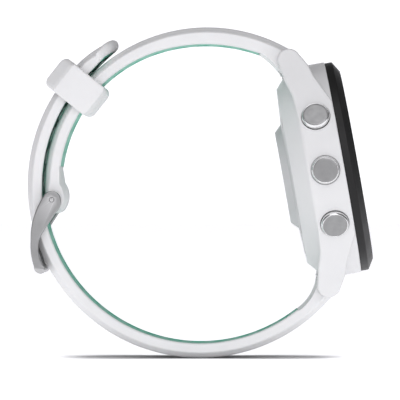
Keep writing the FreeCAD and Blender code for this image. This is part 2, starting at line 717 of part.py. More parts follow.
def keeper():
    """Soft loop round both layers of the band."""
    mid = (KEEPER_IN + KEEPER_OUT) / 2
    block = box(KEEPER_IN, KEEPER_OUT, -KEEPER_SIDE, KEEPER_SIDE, -KEEPER_W / 2, KEEPER_W / 2)
    block = block.makeFillet(KEEPER_ROUND, block.Edges)
    block.rotate(V(0, 0, 0), V(0, 1, 0), -KEEPER_DEG)
    block.translate(V(LOOP_X, 0, LOOP_Z))
    spread = 2 * math.degrees(KEEPER_W / mid)
    window = band_sector(UPPER_IN - FREE, LOOP_R + FREE, KEEPER_DEG - spread, KEEPER_DEG + spread)
    save("keeper", block.cut(slab(window, -STRAP_W / 2 - FREE, STRAP_W / 2 + FREE)))


# ---- buckle ----
def tongue_bar(half):
    """Face of the curved tongue, from the pin to its tip on the front bar."""
    pin = from_loop(PIN)
    bow = (pin[0] + TONGUE_BOW[0], pin[1] + TONGUE_BOW[1])
    tip = (pin[0] + TONGUE_TIP[0], pin[1] + TONGUE_TIP[1])
    circle = Part.Arc(V(pin[0], 0, pin[1]), V(bow[0], 0, bow[1]), V(tip[0], 0, tip[1])).toShape().Curve
    centre = (circle.Center.x, circle.Center.z)
    a0 = math.degrees(math.atan2(pin[1] - centre[1], pin[0] - centre[0]))
    a1 = math.degrees(math.atan2(tip[1] - centre[1], tip[0] - centre[0]))
    if a1 < 0:
        a1 += 360
    return band_sector(circle.Radius - half, circle.Radius + half, a0, a1, centre)


def front_bar(arm):
    """Wide bar between the arms with their own curve, held off the strap and open for the tongue."""
    pin = from_loop(PIN)
    top = pin[1] + FRONT_TOP
    low_x = pin[0] - 10
    high_x = pin[0] + 10
    bar = slab(arm, -FRAME_IN, FRAME_IN)
    bar = bar.common(box(low_x, high_x, -FRAME_IN, FRAME_IN, top - 10, top))
    bar = bar.cut(y_rod(LOOP_R + FREE, (LOOP_X, LOOP_Z), -FRAME_IN, FRAME_IN))
    half = TONGUE_SLOT / 2
    return bar.cut(box(low_x, high_x, -half, half, pin[1] + FRONT_LIP, top + 1))


def buckle():
    """Frame with two arms and a front bar, curved tongue, and the pin through the strap's end."""
    pin = from_loop(PIN)

    def p(x, z):
        return (pin[0] + x, pin[1] + z)

    arm = outline(p(-1.3, 1.15), [
        (p(-3.4, -2.9), p(-4.15, -8.1)),
        (p(-4.05, -10.9), p(-3.5, -13.2)),
        (p(-2.8, -14.4), p(-1.55, -14.3)),
        (p(-1.3, -13.8), p(-1.7, -12.9)),
        (p(-2.4, -11.2), p(-2.6, -9.0)),
        (p(-2.35, -7.5), p(-1.7, -6.3)),
        (p(0.7, -2.6),),
        (p(1.6, -1.4), p(1.75, 0.0)),
        (p(0.3, 1.7), p(-1.3, 1.15)),
    ])
    arms = [slab(arm, y, y + FRAME_W) for y in (-FRAME_IN - FRAME_W, FRAME_IN)]
    frame = front_bar(arm).fuse(arms)
    frame = frame.cut(y_rod(PIN_R + RUN, pin, -THROUGH, THROUGH))
    frame = frame.cut(slab(tongue_bar(TONGUE_T / 2 + 0.15), -TONGUE_SLOT / 2, TONGUE_SLOT / 2))
    save("buckle_frame", frame)
    tongue = slab(tongue_bar(TONGUE_T / 2), -TONGUE_W / 2, TONGUE_W / 2)
    tongue = tongue.fuse(y_rod(EYE_R, pin, -TONGUE_W / 2, TONGUE_W / 2))
    save("buckle_tongue", tongue.cut(y_rod(PIN_R + RUN, pin, -THROUGH, THROUGH)))
    save("buckle_pin", y_rod(PIN_R, pin, -FRAME_IN - FRAME_W, FRAME_IN + FRAME_W))


os.makedirs("parts", exist_ok=True)
shell_pieces()
display_pieces()
board_pieces()
cell_pieces()
sensor_pieces()
button_pieces()
spring_bar("upper", 1)
spring_bar("lower", -1)
lower_strap()
upper_strap()
keeper()
buckle()
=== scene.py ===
"""GPS running watch, buckled, standing on its band: the visual model round the CAD frame.

Outlines are worked out in millimetres and scaled once, when a mesh is made.
Outlines lie in the XZ plane as (x, z) points; Y runs across the band.
"""
import json
import math

import bmesh
import bpy
from mathutils import Matrix, Vector


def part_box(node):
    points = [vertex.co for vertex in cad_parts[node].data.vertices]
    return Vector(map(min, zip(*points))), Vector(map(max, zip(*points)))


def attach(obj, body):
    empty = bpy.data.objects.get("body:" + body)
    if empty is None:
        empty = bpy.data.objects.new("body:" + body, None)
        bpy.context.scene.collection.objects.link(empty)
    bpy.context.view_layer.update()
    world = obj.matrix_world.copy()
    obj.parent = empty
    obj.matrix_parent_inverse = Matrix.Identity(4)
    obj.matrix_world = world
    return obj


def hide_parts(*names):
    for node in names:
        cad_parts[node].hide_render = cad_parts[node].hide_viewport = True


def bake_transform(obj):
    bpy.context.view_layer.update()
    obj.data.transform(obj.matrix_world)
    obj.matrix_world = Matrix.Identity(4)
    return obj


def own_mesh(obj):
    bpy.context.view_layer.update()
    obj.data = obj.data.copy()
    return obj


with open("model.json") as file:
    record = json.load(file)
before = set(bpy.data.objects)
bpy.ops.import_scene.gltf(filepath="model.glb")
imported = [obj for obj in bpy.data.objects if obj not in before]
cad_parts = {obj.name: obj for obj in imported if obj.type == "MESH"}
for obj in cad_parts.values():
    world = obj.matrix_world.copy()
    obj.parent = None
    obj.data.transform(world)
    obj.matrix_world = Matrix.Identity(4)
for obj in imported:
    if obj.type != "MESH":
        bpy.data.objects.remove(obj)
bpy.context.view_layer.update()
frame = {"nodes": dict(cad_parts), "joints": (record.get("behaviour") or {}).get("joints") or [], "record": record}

MM = 0.001
SEAT = "seat"                   # outline points under the coloured layer
SAME = 0.02                     # points closer than this are one
CREASE = 35                     # degrees up to which a surface is shaded smooth
X_AXIS = Vector((1, 0, 0))
Y_AXIS = Vector((0, 1, 0))

# ---- places, from the frame, in millimetres ----
joints = {joint["name"]: joint for joint in frame["joints"]}
mounts = {mount["name"]: mount for mount in frame["record"]["mounts"]}


def in_mm(point):
    return Vector(point) / MM


def flat(point):
    """(x, z) of a point."""
    return Vector((point[0], point[2]))


def box_middle(node):
    low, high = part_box(node)
    return (in_mm(low) + in_mm(high)) / 2


LOOP = flat(in_mm(joints["keeper_slide"]["pos_m"]))
PIN = flat(in_mm(joints["frame_hinge"]["pos_m"]))
PIN_MIDDLE = Vector((PIN.x, 0, PIN.y))
UPPER_BAR = flat(in_mm(joints["band_flex"]["pos_m"]))
LOWER_BAR = flat(box_middle("lower_bar_tube"))
HEAD_N = Vector(mounts["display_face"]["axis"])           # out of the display
HEAD_T = Vector((-HEAD_N.z, 0, HEAD_N.x))                 # towards twelve o'clock
HEAD_Y = Vector((0, -1, 0))                               # towards nine o'clock
BUMP_BACK = -1.8                                          # sensor window's face, from the back plane
HEAD = in_mm(mounts["sensor_face"]["pos_m"]) - HEAD_N * BUMP_BACK
STRAP_HALF = in_mm(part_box("strap_lower")[1]).y

# ---- sizes in millimetres, directions in degrees about the loop's centre ----
# band
LOOP_R = LOOP.y                 # the band's outside touches the ground
STRAP_T = 2.95                  # thickness with the coloured layer
LINER_T = 0.35
LOWER_IN = LOOP_R - STRAP_T
UPPER_IN = 27.6                 # radii of the upper strap, up to its bends
UPPER_OUT = 30.5
UPPER_IN_BEND = 107.0           # past these directions the upper strap's radius grows
UPPER_OUT_BEND = 140.0
UPPER_IN_R2 = 31.4              # and past them
UPPER_OUT_R2 = 32.4
UPPER_LINER = (70.6, 172.0)     # the coloured layers run between these directions
LOWER_LINER = (123.5, 308.0)
TAIL_END = 120.0
TAIL_TIP = 2.6                  # the tip's nose takes this many degrees
TAIL_TAPER = 14.0               # and the thinning towards it this many
TAIL_THIN = 0.8                 # by which the tip is thinner
TAIL_LIFT = 0.6                 # the tip stands off the loop by this
TAIL_ROUND = 5.5                # length of the tip's rounding, seen from above
TAIL_SHAPE = 2.2                # its exponent: 2 is an ellipse, more is squarer
TAIL_WIDE = 0.98                # the strap's edge lies at this share of its half width
TAIL_FADE = 14.0                # degrees over which rounding and lift fade out
TAIL_EASE = 1.6                 # exponent of the thinning and of the lift
NOSE_OUT = 1.1                  # the tip's nose, above the strap's inside
BAR_GAP = 21.5                  # strap end to head centre, past the case wall
END_N = 2.8                     # and above the head's back plane
WRIST_T = 19.9                  # where a strap's inside starts, along the head
WRIST_N = 1.4                   # and above its back plane
BARREL_TURN = 83                # degrees of rounding about a spring bar
LOWER_SWELL = (315, 0.3)        # direction and extra thickness next to the head
UPPER_SWELL = (66, 0.7)
UPPER_END_IN = 173              # the upper strap's inside and outside end here
UPPER_END_OUT = 178
SIDE_BEVEL = 1.15               # height and width of the slope along the strap's outer edges
SIDE_SLOPE = 1.8
INNER_ROUND = 0.5               # rounding of the inner edges
LINER_HALF = 8.3                # the coloured layer stops short of them
CROWN = [(0, 0), (4.0, 0.02)]   # (y, inset) of the outside's middle part
TAIL_CROWN = [(0, 0), (2.0, 0), (4.0, 0.02), (5.2, 0.03), (5.8, 0.035)]
SIDE_SOFT = 0.07                # softening where the slope meets the side
HOLE_AT = 194.5                 # direction of the middle hole
HOLE_STEP = 10.5                # degrees from hole to hole
HOLES_PER_SIDE = 5
HOLE_W = 2.3
HOLE_L = 3.6
HOLE_SLOPE = 5 / 6              # growth of a hole's radius per unit of flare
HOLE_LEVELS = [                 # (height, flare) from inside the strap to outside
    (-0.6, 0.5), (-0.1, 0.3), (0.2, 0),
    (STRAP_T - 0.3, 0), (STRAP_T + 0.05, 0.3), (STRAP_T + 0.6, 0.5),
]
LEVER_T = 19.7                  # the lever's slot leads here, along the head
LEVER_N = 0.95                  # and above its back plane
LEVER_HALF = 0.6                # half the slot's width
LEVER_PAST = 1.5                # it runs on by this
LEVER_Y = (-7.5, -4.5)          # and its ends across the band

# buckle, from the pin
TONGUE_GAP = 2.7                # room for the tongue in the strap and the bar
TONGUE_W = 2.1
TONGUE_T = 0.9
TONGUE_BOW = (-3.3, -7.65)      # its middle and its tip
TONGUE_TIP = (-3.15, -13.3)
TONGUE_SEAT = 0.15              # the front bar's notch clears the tongue by this
EYE_R = 1.45                    # radius of its eye
FRAME_IN = 9.3                  # inner face of an arm, from the middle
FRAME_W = 1.4
ARM_SOFT = 0.26                 # rounding of the arms' edges
ARM_CUT_AT = (-3.0, -13.45)     # the slanted end goes through here
ARM_CUT_DOWN = (-0.12, 0.6, -0.8)   # and faces this way
PIN_EYE_DEPTH = 0.32            # depth of the narrow part of the arm's eye
PIN_R = 0.75
PIN_TIP = 0.42                  # its ends, flush with the arms
FRONT_TOP = -7.9                # height of the front bar's top, and of its lip
FRONT_LIP = -12.9
FRONT_INSIDE = (203.4, 198.6)   # directions along the band that its inside follows
FREE = 0.3                      # clearance between moving pieces

# keeper, and the coloured layer's ribs
KEEPER_DEG = 141.5
KEEPER_HALF = 3.4               # half its width along the band
KEEPER_IN = 25.4                # its distances from the loop's centre
KEEPER_OUT = 36.6
KEEPER_SIDE = 10.7              # and from the middle
KEEPER_ROUND = 0.45             # rounding of its long edges
KEEPER_CORNER = 0.95            # and this much more at its ends
WINDOW_IN = 27.3                # the opening for the straps, likewise
WINDOW_OUT = 34.25
WINDOW_SIDE = 9.3
WINDOW_ROUND = 0.5
WINDOW_EDGE = 0.3               # rounding of the opening's rims
RIB_PITCH = 4.5
RIB_DEPTH = 0.22
RIB_STEPS = 12                  # mesh steps in one pitch
RIB_FLANK = 0.07                # share of the pitch in each flank
POCKET_SHARE = 0.32             # half the pocket's share of the pitch
POCKET_HALF = 8.0               # pockets end here across the band
POCKET_RAMP = 0.25

# buttons and springs
BUTTON_N = 6.5                  # height above the head's back plane
BUTTON_R = 2.74
BUTTON_FACE_R = 2.47
BUTTON_FACE = 22.0              # from the head's middle to the cap's face
BUTTON_BACK = 20.9              # to the cap's back
BUTTON_FLOOR = 20.2             # and to the floor of its seat in the case
STEM_R = 0.85
STEM_END = 17.0                 # the stem's inner end
COIL_STEPS = 28                 # mesh steps in one turn
COIL_FLAT = 0.75                # turns that lie flat at each end
COIL_PLAY = 0.02                # a coil is this much shorter than its room
COIL_ROUND = [math.radians(45 * i) for i in range(8)]
BUTTON_COIL = {"radius": 1.7, "turns": 3.5, "wire": 0.05}
BAR_COIL = {"radius": 0.36, "turns": 8.5, "wire": 0.09}
# clock directions in degrees, from twelve o'clock towards nine
BUTTONS = {"light": 60.0, "up": 90.0, "down": 120.0, "start": -60.0, "back": -120.0}

# sensor
DIODE_RING = 5.2
DIODE_HOLE = 1.1                # radius of the ink's opening over each
MIDDLE_HOLE = 1.35              # and over the middle one
INK_R = 7.3
INK_T = 0.04
INK_LEVEL = BUMP_BACK + 0.93    # just under the window

# ---- camera, in millimetres ----
SENSOR_W = 36
CAMERA_AWAY = 1000
VIEW_W = 79.2                   # width of the view at that distance
CAMERA_AT = (11.5, -CAMERA_AWAY, 33.07)
CAMERA_AIM = (-0.16, 0, 31.09)

# ---- light ----
SKY_LOW = 0.6                   # near the horizon
SKY_HIGH = 0.36                 # overhead
SKY_FRONT = 1.12                # times this from the front
SKY_SIDE = 0.35                 # and this from the sides
LAMP_COLOUR = (0.98, 0.975, 1)
LAMP_AIM = Vector((0, 0, 0.03))
LAMPS = [                       # name, place in metres, side, power
    ("key", (0.35, -1.5, 0.9), 1.1, 6.0),
    ("fill", (-0.9, -1.3, 0.5), 0.9, 0.8),
    ("top", (-0.25, -0.75, 1.3), 1.2, 4.5),
]
FLOOR_HALF = 4.0                # in metres


# ---- outlines ----
def polar(radius, degrees, centre=LOOP):
    a = math.radians(degrees)
    return centre + Vector((math.cos(a), math.sin(a))) * radius


def sweep(radius, a0, a1, count, centre=LOOP):
    """Points along a circle from direction a0 to a1, both ends included."""
    return [polar(radius, a0 + (a1 - a0) * i / count, centre) for i in range(count + 1)]


def circle_through(a, b, c):
    """Centre of the circle through three points."""
    d = 2 * (a.x * (b.y - c.y) + b.x * (c.y - a.y) + c.x * (a.y - b.y))
    x = (a.length_squared * (b.y - c.y) + b.length_squared * (c.y - a.y) + c.length_squared * (a.y - b.y)) / d
    y = (a.length_squared * (c.x - b.x) + b.length_squared * (a.x - c.x) + c.length_squared * (b.x - a.x)) / d
    return Vector((x, y))


def direction(point, centre):
    return math.degrees(math.atan2(point.y - centre.y, point.x - centre.x))


def arc(a, b, c, count):
    """Points of the arc from a through b to c."""
    centre = circle_through(a, b, c)
    first, middle, last = [direction(p, centre) for p in (a, b, c)]
    span = (last - first) % 360
    if (middle - first) % 360 > span:
        span -= 360
    return sweep((a - centre).length, first, first + span, count, centre)


def line(a, b, count):
    return [a.lerp(b, i / count) for i in range(count + 1)]


def head_point(t, n):
    """(x, z) of a point of the head's middle plane."""
    return flat(HEAD + HEAD_T * t + HEAD_N * n)


def near_pin(x, z):
    return PIN + Vector((x, z))


# the upper strap's radius grows past its bends without a kink
UPPER_IN_CENTRE = polar(UPPER_IN - UPPER_IN_R2, UPPER_IN_BEND)
UPPER_OUT_CENTRE = polar(UPPER_OUT - UPPER_OUT_R2, UPPER_OUT_BEND)


def chain(*runs):
    """Join runs of (points, bevel share) into one closed outline of points and shares."""
    points = []
    shares = []
    for run, share in runs:
        for point in run:
            if points and (point - points[-1]).length < SAME:
                continue
            points.append(point)
            shares.append(share)
    if (points[0] - points[-1]).length < SAME:
        points.pop()
        shares.pop()
    return points, shares


def outward(points):
    """Unit outward normal at each point of a closed outline."""
    count = len(points)
    area = sum(points[i - 1].x * points[i].y - points[i].x * points[i - 1].y for i in range(count))
    side = 1 if area > 0 else -1
    normals = []
    for i in range(count):
        along = points[(i + 1) % count] - points[i - 1]
        normals.append(Vector((along.y, -along.x)).normalized() * side)
    return normals


# ---- meshes ----
def link(name, data):
    """New object in the scene."""
    item = bpy.data.objects.new(name, data)
    bpy.context.scene.collection.objects.link(item)
    return item


def sharpen(mesh, crease=CREASE):
    """Smooth shading up to the crease angle."""
    mesh.shade_smooth()
    mesh.set_sharp_from_angle(angle=math.radians(crease))


def make_object(name, vertices, faces, crease):
    """Mesh object from millimetre vertices."""
    mesh = bpy.data.meshes.new(name)
    mesh.from_pydata([Vector(v) * MM for v in vertices], [], faces)
    tidy = bmesh.new()
    tidy.from_mesh(mesh)
    bmesh.ops.recalc_face_normals(tidy, faces=tidy.faces)
    tidy.to_mesh(mesh)
    tidy.free()
    sharpen(mesh, crease)
    return link(name, mesh)


def join(name, parts):
    """One object from several meshes."""
    merged = bmesh.new()
    for part in parts:
        merged.from_mesh(part.data)
        bpy.data.objects.remove(part)
    mesh = bpy.data.meshes.new(name)
    merged.to_mesh(mesh)
    merged.free()
    sharpen(mesh)
    return link(name, mesh)


def skin(name, rings, closed_ends=True, crease=CREASE):
    """Mesh from rings of as many points each, with its two ends closed by flat faces."""
    count = len(rings[0])
    vertices = [point for ring in rings for point in ring]
    faces = []
    for j in range(len(rings) - 1):
        here = j * count
        beyond = here + count
        for i in range(count):
            following = (i + 1) % count
            faces.append((here + i, here + following, beyond + following, beyond + i))
    if closed_ends:
        faces.append(tuple(range(count)))
        faces.append(tuple((len(rings) - 1) * count + i for i in range(count)))
    return make_object(name, vertices, faces, crease)


def layered(name, outline, layers, move=None):
    """Extrude an outline across the band; a layer is (y, inset, seat).

    The inset follows the outline's shares, and the seat moves the points whose share is SEAT.
    """
    points, shares = outline
    normals = outward(points)
    rings = []
    for y, inset, *seat in layers:
        ring = []
        for point, share, normal in zip(points, shares, normals):
            moved = point - normal * (seat[0] if share == SEAT else inset * share)
            if move:
                moved = move(moved, y)
            ring.append((moved.x, y, moved.y))
        rings.append(ring)
    return skin(name, rings)


def cutter(outline, low, high):
    """Straight cutter between two levels across the band."""
    return layered("cutter", outline, [(low, 0), (high, 0)])


def mirrored(half):
    """Layers for the whole width from the half with y above zero, listed outwards."""
    return [(-y, *rest) for y, *rest in reversed(half)] + [(y, *rest) for y, *rest in half if y > 0]


def lathe(name, profile, base, axis, around, steps=64, crease=CREASE):
    """Turn a (radius, height) profile about an axis; the first and last radii close the ends."""
    side = axis.cross(around).normalized()
    front = side.cross(axis).normalized()
    rings = []
    for radius, height in profile:
        ring = []
        for i in range(steps):
            a = 2 * math.pi * i / steps
            ring.append(base + axis * height + (front * math.cos(a) + side * math.sin(a)) * radius)
        rings.append(ring)
    return skin(name, rings, crease=crease)


def carve(piece, tool):
    """Cut one piece out of another and drop the first."""
    cut = piece.modifiers.new("cut", "BOOLEAN")
    cut.operation = "DIFFERENCE"
    cut.solver = "EXACT"
    cut.object = tool
    shown = bpy.context.evaluated_depsgraph_get()
    mesh = bpy.data.meshes.new_from_object(piece.evaluated_get(shown))
    piece.modifiers.clear()
    piece.data = mesh
    bpy.data.objects.remove(tool)


def slice_off(piece, point, normal):
    """Cut a closed piece along a plane, keep the side behind the normal, and close the cut."""
    work = bmesh.new()
    work.from_mesh(piece.data)
    everything = [*work.verts, *work.edges, *work.faces]
    cut = bmesh.ops.bisect_plane(
        work, geom=everything, plane_co=point * MM, plane_no=normal, clear_outer=True
    )
    rim = [item for item in cut["geom_cut"] if isinstance(item, bmesh.types.BMEdge)]
    bmesh.ops.contextual_create(work, geom=rim)
    work.to_mesh(piece.data)
    work.free()


def finish_piece(piece, material, body, nodes=()):
    """Give a piece its material and its body, and hide the CAD nodes it stands for."""
    piece.data.materials.clear()
    piece.data.materials.append(material)
    if body:
        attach(piece, body)
    if nodes:
        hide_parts(*nodes)
    return piece


# ---- materials ----
def start_material(name):
    material = bpy.data.materials.new(name)
    material.use_nodes = True
    tree = material.node_tree
    surface = next(node for node in tree.nodes if node.type == "BSDF_PRINCIPLED")
    where = tree.nodes.new("ShaderNodeTexCoord").outputs["Object"]
    return material, tree, surface, where


def noise(tree, where, size, detail=2.0):
    """Noise with features of a size in millimetres."""
    node = tree.nodes.new("ShaderNodeTexNoise")
    node.inputs["Scale"].default_value = 1 / (size * MM)
    node.inputs["Detail"].default_value = detail
    tree.links.new(where, node.inputs["Vector"])
    return node.outputs["Fac"]


def spread(tree, factor, low, high, start=0.3, end=0.7, smooth=False):
    """Map a factor to a range, in a straight line or with soft ends."""
    node = tree.nodes.new("ShaderNodeMapRange")
    if smooth:
        node.interpolation_type = "SMOOTHSTEP"
    node.inputs["From Min"].default_value = start
    node.inputs["From Max"].default_value = end
    node.inputs["To Min"].default_value = low
    node.inputs["To Max"].default_value = high
    tree.links.new(factor, node.inputs["Value"])
    return node.outputs["Result"]


def two_tone(tree, factor, first, second):
    node = tree.nodes.new("ShaderNodeMix")
    node.data_type = "RGBA"
    node.inputs["A"].default_value = (*first, 1)
    node.inputs["B"].default_value = (*second, 1)
    tree.links.new(factor, node.inputs["Factor"])
    return node.outputs["Result"]


def bump(tree, height, depth, below=None):
    """Bump of a depth in millimetres, on top of another one if given."""
    node = tree.nodes.new("ShaderNodeBump")
    node.inputs["Strength"].default_value = 1.0
    node.inputs["Distance"].default_value = depth * MM
    tree.links.new(height, node.inputs["Height"])
    if below:
        tree.links.new(below, node.inputs["Normal"])
    return node.outputs["Normal"]


def moulded(
    name, light, dark, roughness, grain=0.12, depth=0.004, soft=0.0, metallic=0.0, wave=6.0, shine=0.5
):
    """Moulded or blasted surface: slow tone and roughness changes, and a fine grain."""
    material, tree, surface, where = start_material(name)
    slow = noise(tree, where, wave, 3.0)
    fine = noise(tree, where, grain, 2.0)
    tree.links.new(two_tone(tree, spread(tree, slow, 0, 1), dark, light), surface.inputs["Base Color"])
    tree.links.new(spread(tree, slow, roughness + 0.05, roughness - 0.05), surface.inputs["Roughness"])
    tree.links.new(bump(tree, fine, depth), surface.inputs["Normal"])
    surface.inputs["Metallic"].default_value = metallic
    surface.inputs["Specular IOR Level"].default_value = shine
    if soft:
        surface.inputs["Subsurface Weight"].default_value = soft
        surface.inputs["Subsurface Radius"].default_value = (1.0, 0.9, 0.8)
        surface.inputs["Subsurface Scale"].default_value = 0.8 * MM
    return material


def grey(value):
    return (value, value, value)


def liner_material():
    """Teal silicone: slow tone changes and a fine grain."""
    material, tree, surface, where = start_material("teal_silicone")
    slow = noise(tree, where, 3.0, 3.0)
    fine = noise(tree, where, 0.12, 2.0)
    colour = two_tone(tree, spread(tree, slow, 0, 1), (0.135, 0.49, 0.36), (0.175, 0.56, 0.42))
    tree.links.new(colour, surface.inputs["Base Color"])
    tree.links.new(spread(tree, fine, 0.62, 0.5), surface.inputs["Roughness"])
    tree.links.new(bump(tree, fine, 0.004), surface.inputs["Normal"])
    return material


def steel_material(name, light, dark, roughness, painted_edge_highlight):
    """Blasted steel, with a painted highlight: a lighter colour along its sharpest edges."""
    material, tree, surface, where = start_material(name)
    slow = noise(tree, where, 4.0, 4.0)
    fine = noise(tree, where, 0.09, 2.0)
    body = two_tone(tree, spread(tree, slow, 0, 1), dark, light)
    # painted highlight: the sharpest edges, found by pointiness, take a lighter colour
    edge = spread(tree, tree.nodes.new("ShaderNodeNewGeometry").outputs["Pointiness"], 0, 1, 0.52, 0.62)
    mix = tree.nodes.new("ShaderNodeMix")
    mix.data_type = "RGBA"
    mix.inputs["B"].default_value = (*painted_edge_highlight, 1)
    tree.links.new(edge, mix.inputs["Factor"])
    tree.links.new(body, mix.inputs["A"])
    tree.links.new(mix.outputs["Result"], surface.inputs["Base Color"])
    tree.links.new(spread(tree, fine, roughness + 0.06, roughness - 0.06), surface.inputs["Roughness"])
    tree.links.new(bump(tree, fine, 0.006), surface.inputs["Normal"])
    surface.inputs["Metallic"].default_value = 1.0
    return material


def glass_material(name, tint, roughness):
    """Clear or tinted glass with faint smears."""
    material, tree, surface, where = start_material(name)
    smear = noise(tree, where, 5.0, 4.0)
    surface.inputs["Base Color"].default_value = (*tint, 1)
    surface.inputs["Transmission Weight"].default_value = 1.0
    surface.inputs["IOR"].default_value = 1.5
    tree.links.new(spread(tree, smear, roughness, roughness + 0.05), surface.inputs["Roughness"])
    return material


def board_material():
    """Green board with darker solder mask over its tracks."""
    material, tree, surface, where = start_material("circuit_board")
    tracks = tree.nodes.new("ShaderNodeTexBrick")
    tracks.inputs["Scale"].default_value = 0.4 / MM
    tracks.inputs["Mortar Size"].default_value = 0.03
    tracks.inputs["Color1"].default_value = (0.012, 0.11, 0.045, 1)
    tracks.inputs["Color2"].default_value = (0.016, 0.14, 0.06, 1)
    tracks.inputs["Mortar"].default_value = (0.05, 0.25, 0.1, 1)
    tree.links.new(where, tracks.inputs["Vector"])
    tree.links.new(tracks.outputs["Color"], surface.inputs["Base Color"])
    tree.links.new(spread(tree, noise(tree, where, 1.0), 0.35, 0.45), surface.inputs["Roughness"])
    return material


white_shell = moulded("white_polymer", grey(0.775), grey(0.75), 0.36, grain=0.1, depth=0.003, soft=0.05)
grey_shell = moulded("grey_polymer", (0.64, 0.635, 0.64), (0.60, 0.595, 0.60), 0.4, grain=0.1, depth=0.003)
black_bezel = moulded(
    "black_polymer_satin", grey(0.013), grey(0.009), 0.46, grain=0.08, depth=0.003, shine=0.3
)
seal_rubber = moulded("black_rubber", grey(0.025), grey(0.018), 0.7, grain=0.15, depth=0.006)
inner_polymer = moulded("dark_polymer", grey(0.055), grey(0.045), 0.5, grain=0.12, depth=0.006)
white_silicone = moulded("white_silicone", grey(0.82), grey(0.79), 0.5, grain=0.14, depth=0.004, soft=0.12)
teal_silicone = liner_material()
# the last grey is the painted highlight along the steel's edges
blasted_steel = steel_material("blasted_steel", grey(0.39), grey(0.335), 0.36, grey(0.75))
cap_metal = moulded("satin_aluminium", grey(0.335), grey(0.30), 0.34, 0.07, 0.004, metallic=1.0, wave=1.2)
rim_metal = moulded("polished_aluminium", grey(0.86), grey(0.80), 0.16, 0.2, 0.0005, metallic=1.0)
stamped_steel = moulded("stamped_steel", grey(0.58), grey(0.50), 0.3, 0.2, 0.002, metallic=1.0)
gold_plate = moulded("gold_plate", (0.80, 0.58, 0.26), (0.72, 0.50, 0.20), 0.22, 0.2, 0.001, metallic=1.0)
chip_black = moulded("chip_epoxy", grey(0.03), grey(0.02), 0.45, 0.1, 0.003)
battery_foil = moulded("battery_foil", (0.62, 0.63, 0.64), (0.5, 0.5, 0.52), 0.3, 0.8, 0.02, metallic=1.0)
flex_film = moulded("polyimide_film", (0.42, 0.18, 0.03), (0.36, 0.14, 0.02), 0.35, 0.5, 0.004)
display_black = moulded("display_black", (0.006, 0.0065, 0.008), (0.004, 0.004, 0.005), 0.12, 0.5, 0.0005)
lens_glass = glass_material("lens_glass", (0.96, 0.97, 0.98), 0.02)
window_glass = glass_material("window_glass", (0.62, 0.62, 0.65), 0.04)
circuit_board = board_material()

CAD_LOOKS = {
    white_shell: ("case",),
    grey_shell: ("back_cover",),
    black_bezel: ("bezel",),
    seal_rubber: ("bezel_gasket", "lens_gasket", "back_gasket", "button_seals"),
    lens_glass: ("lens",),
    display_black: ("display_panel",),
    flex_film: ("display_flex",),
    inner_polymer: ("inner_frame", "charge_port"),
    circuit_board: ("main_board", "sensor_board"),
    chip_black: ("board_chips", "sensor_diodes"),
    battery_foil: ("battery",),
    gold_plate: ("charge_contacts", "buzzer"),
    window_glass: ("sensor_window",),
    stamped_steel: (
        "shield_can", "antenna_ring", "vibration_motor", "back_screws", "button_sleeves", "tact_switches",
        "upper_bar_tube", "upper_bar_lever", "lower_bar_tube", "lower_bar_lever",
        *[name + "_clip" for name in BUTTONS],
    ),
}


def dress_cad():
    """Every CAD node that stays visible gets its finished material."""
    for material, names in CAD_LOOKS.items():
        for name in names:
            for place in frame["nodes"][name].material_slots:
                place.material = material


# ---- strap sections across the band ----
def strap_layers(crown):
    """Rings across a strap: a crowned outside, a slope along the edge and a rounded inner edge."""
    slope = STRAP_HALF - SIDE_SLOPE
    half = [(y, inset, LINER_T) for y, inset in crown]
    for y, inset in ((-0.9, 0.05), (-0.2, 0.09), (0.2, 0.22)):
        half.append((slope + y, inset, LINER_T))

    def bevel(y):
        return SIDE_BEVEL * (y - slope) / SIDE_SLOPE

    for y in (slope + 0.7, slope + 0.95, LINER_HALF):
        half.append((y, bevel(y), LINER_T))
    half.append((LINER_HALF + 0.001, bevel(LINER_HALF), 0.0))
    for i in range(1, 6):
        a = math.radians(18 * i)
        y = STRAP_HALF - INNER_ROUND * (1 - math.sin(a))
        soft = SIDE_SOFT * max(0.0, math.sin(a) - 0.8) / 0.2
        half.append((y, bevel(y) + soft, INNER_ROUND * (1 - math.cos(a))))
    # one more ring keeps the side faces flat
    half.append((STRAP_HALF, bevel(STRAP_HALF) + 0.12, INNER_ROUND + 0.05))
    return mirrored(half)


def liner_rings():
    """Places of a liner's rings; it lies flush in the strap, with square edges."""
    half = [0, 2.0, 4.0, 5.5, 7.0, 7.6, 7.85, POCKET_HALF, LINER_HALF - 0.02]
    return [-y for y in reversed(half)] + half[1:]


# ---- lower strap ----
def lower_outline():
    """Closed outline of the long strap, without the liner's layer."""
    bar_deg = direction(LOWER_BAR, LOOP) + 360
    barrel = LOOP_R - (LOWER_BAR - LOOP).length
    first, last = LOWER_LINER
    swell, extra = LOWER_SWELL
    wrist = head_point(-WRIST_T, WRIST_N)
    thick = arc(wrist, polar(LOWER_IN - extra, swell), polar(LOWER_IN, last), 24)
    nose = TAIL_END + TAIL_TIP
    tip_in = polar(LOWER_IN, nose)
    tip = arc(tip_in, polar(LOWER_IN + NOSE_OUT, TAIL_END), polar(LOOP_R - TAIL_THIN, nose), 14)
    taper = []
    for i in range(1, 31):
        share = i / 30
        here = nose + (TAIL_TAPER - TAIL_TIP) * share
        taper.append(polar(LOOP_R - TAIL_THIN * (1 - share) ** TAIL_EASE, here))
    return chain(
        (sweep(barrel, bar_deg, bar_deg + BARREL_TURN, 12, LOWER_BAR), 0.6),
        ([head_point(-BAR_GAP, END_N), wrist], 0.2),
        (thick[1:-1], 0.3),
        (sweep(LOWER_IN, last, first, 260), SEAT),
        ([polar(LOWER_IN, first), tip_in], 0.1),
        (tip[1:], 0.6),
        (taper, 0.9),
        (sweep(LOOP_R, TAIL_END + TAIL_TAPER, bar_deg, 300)[1:], 1),
    )


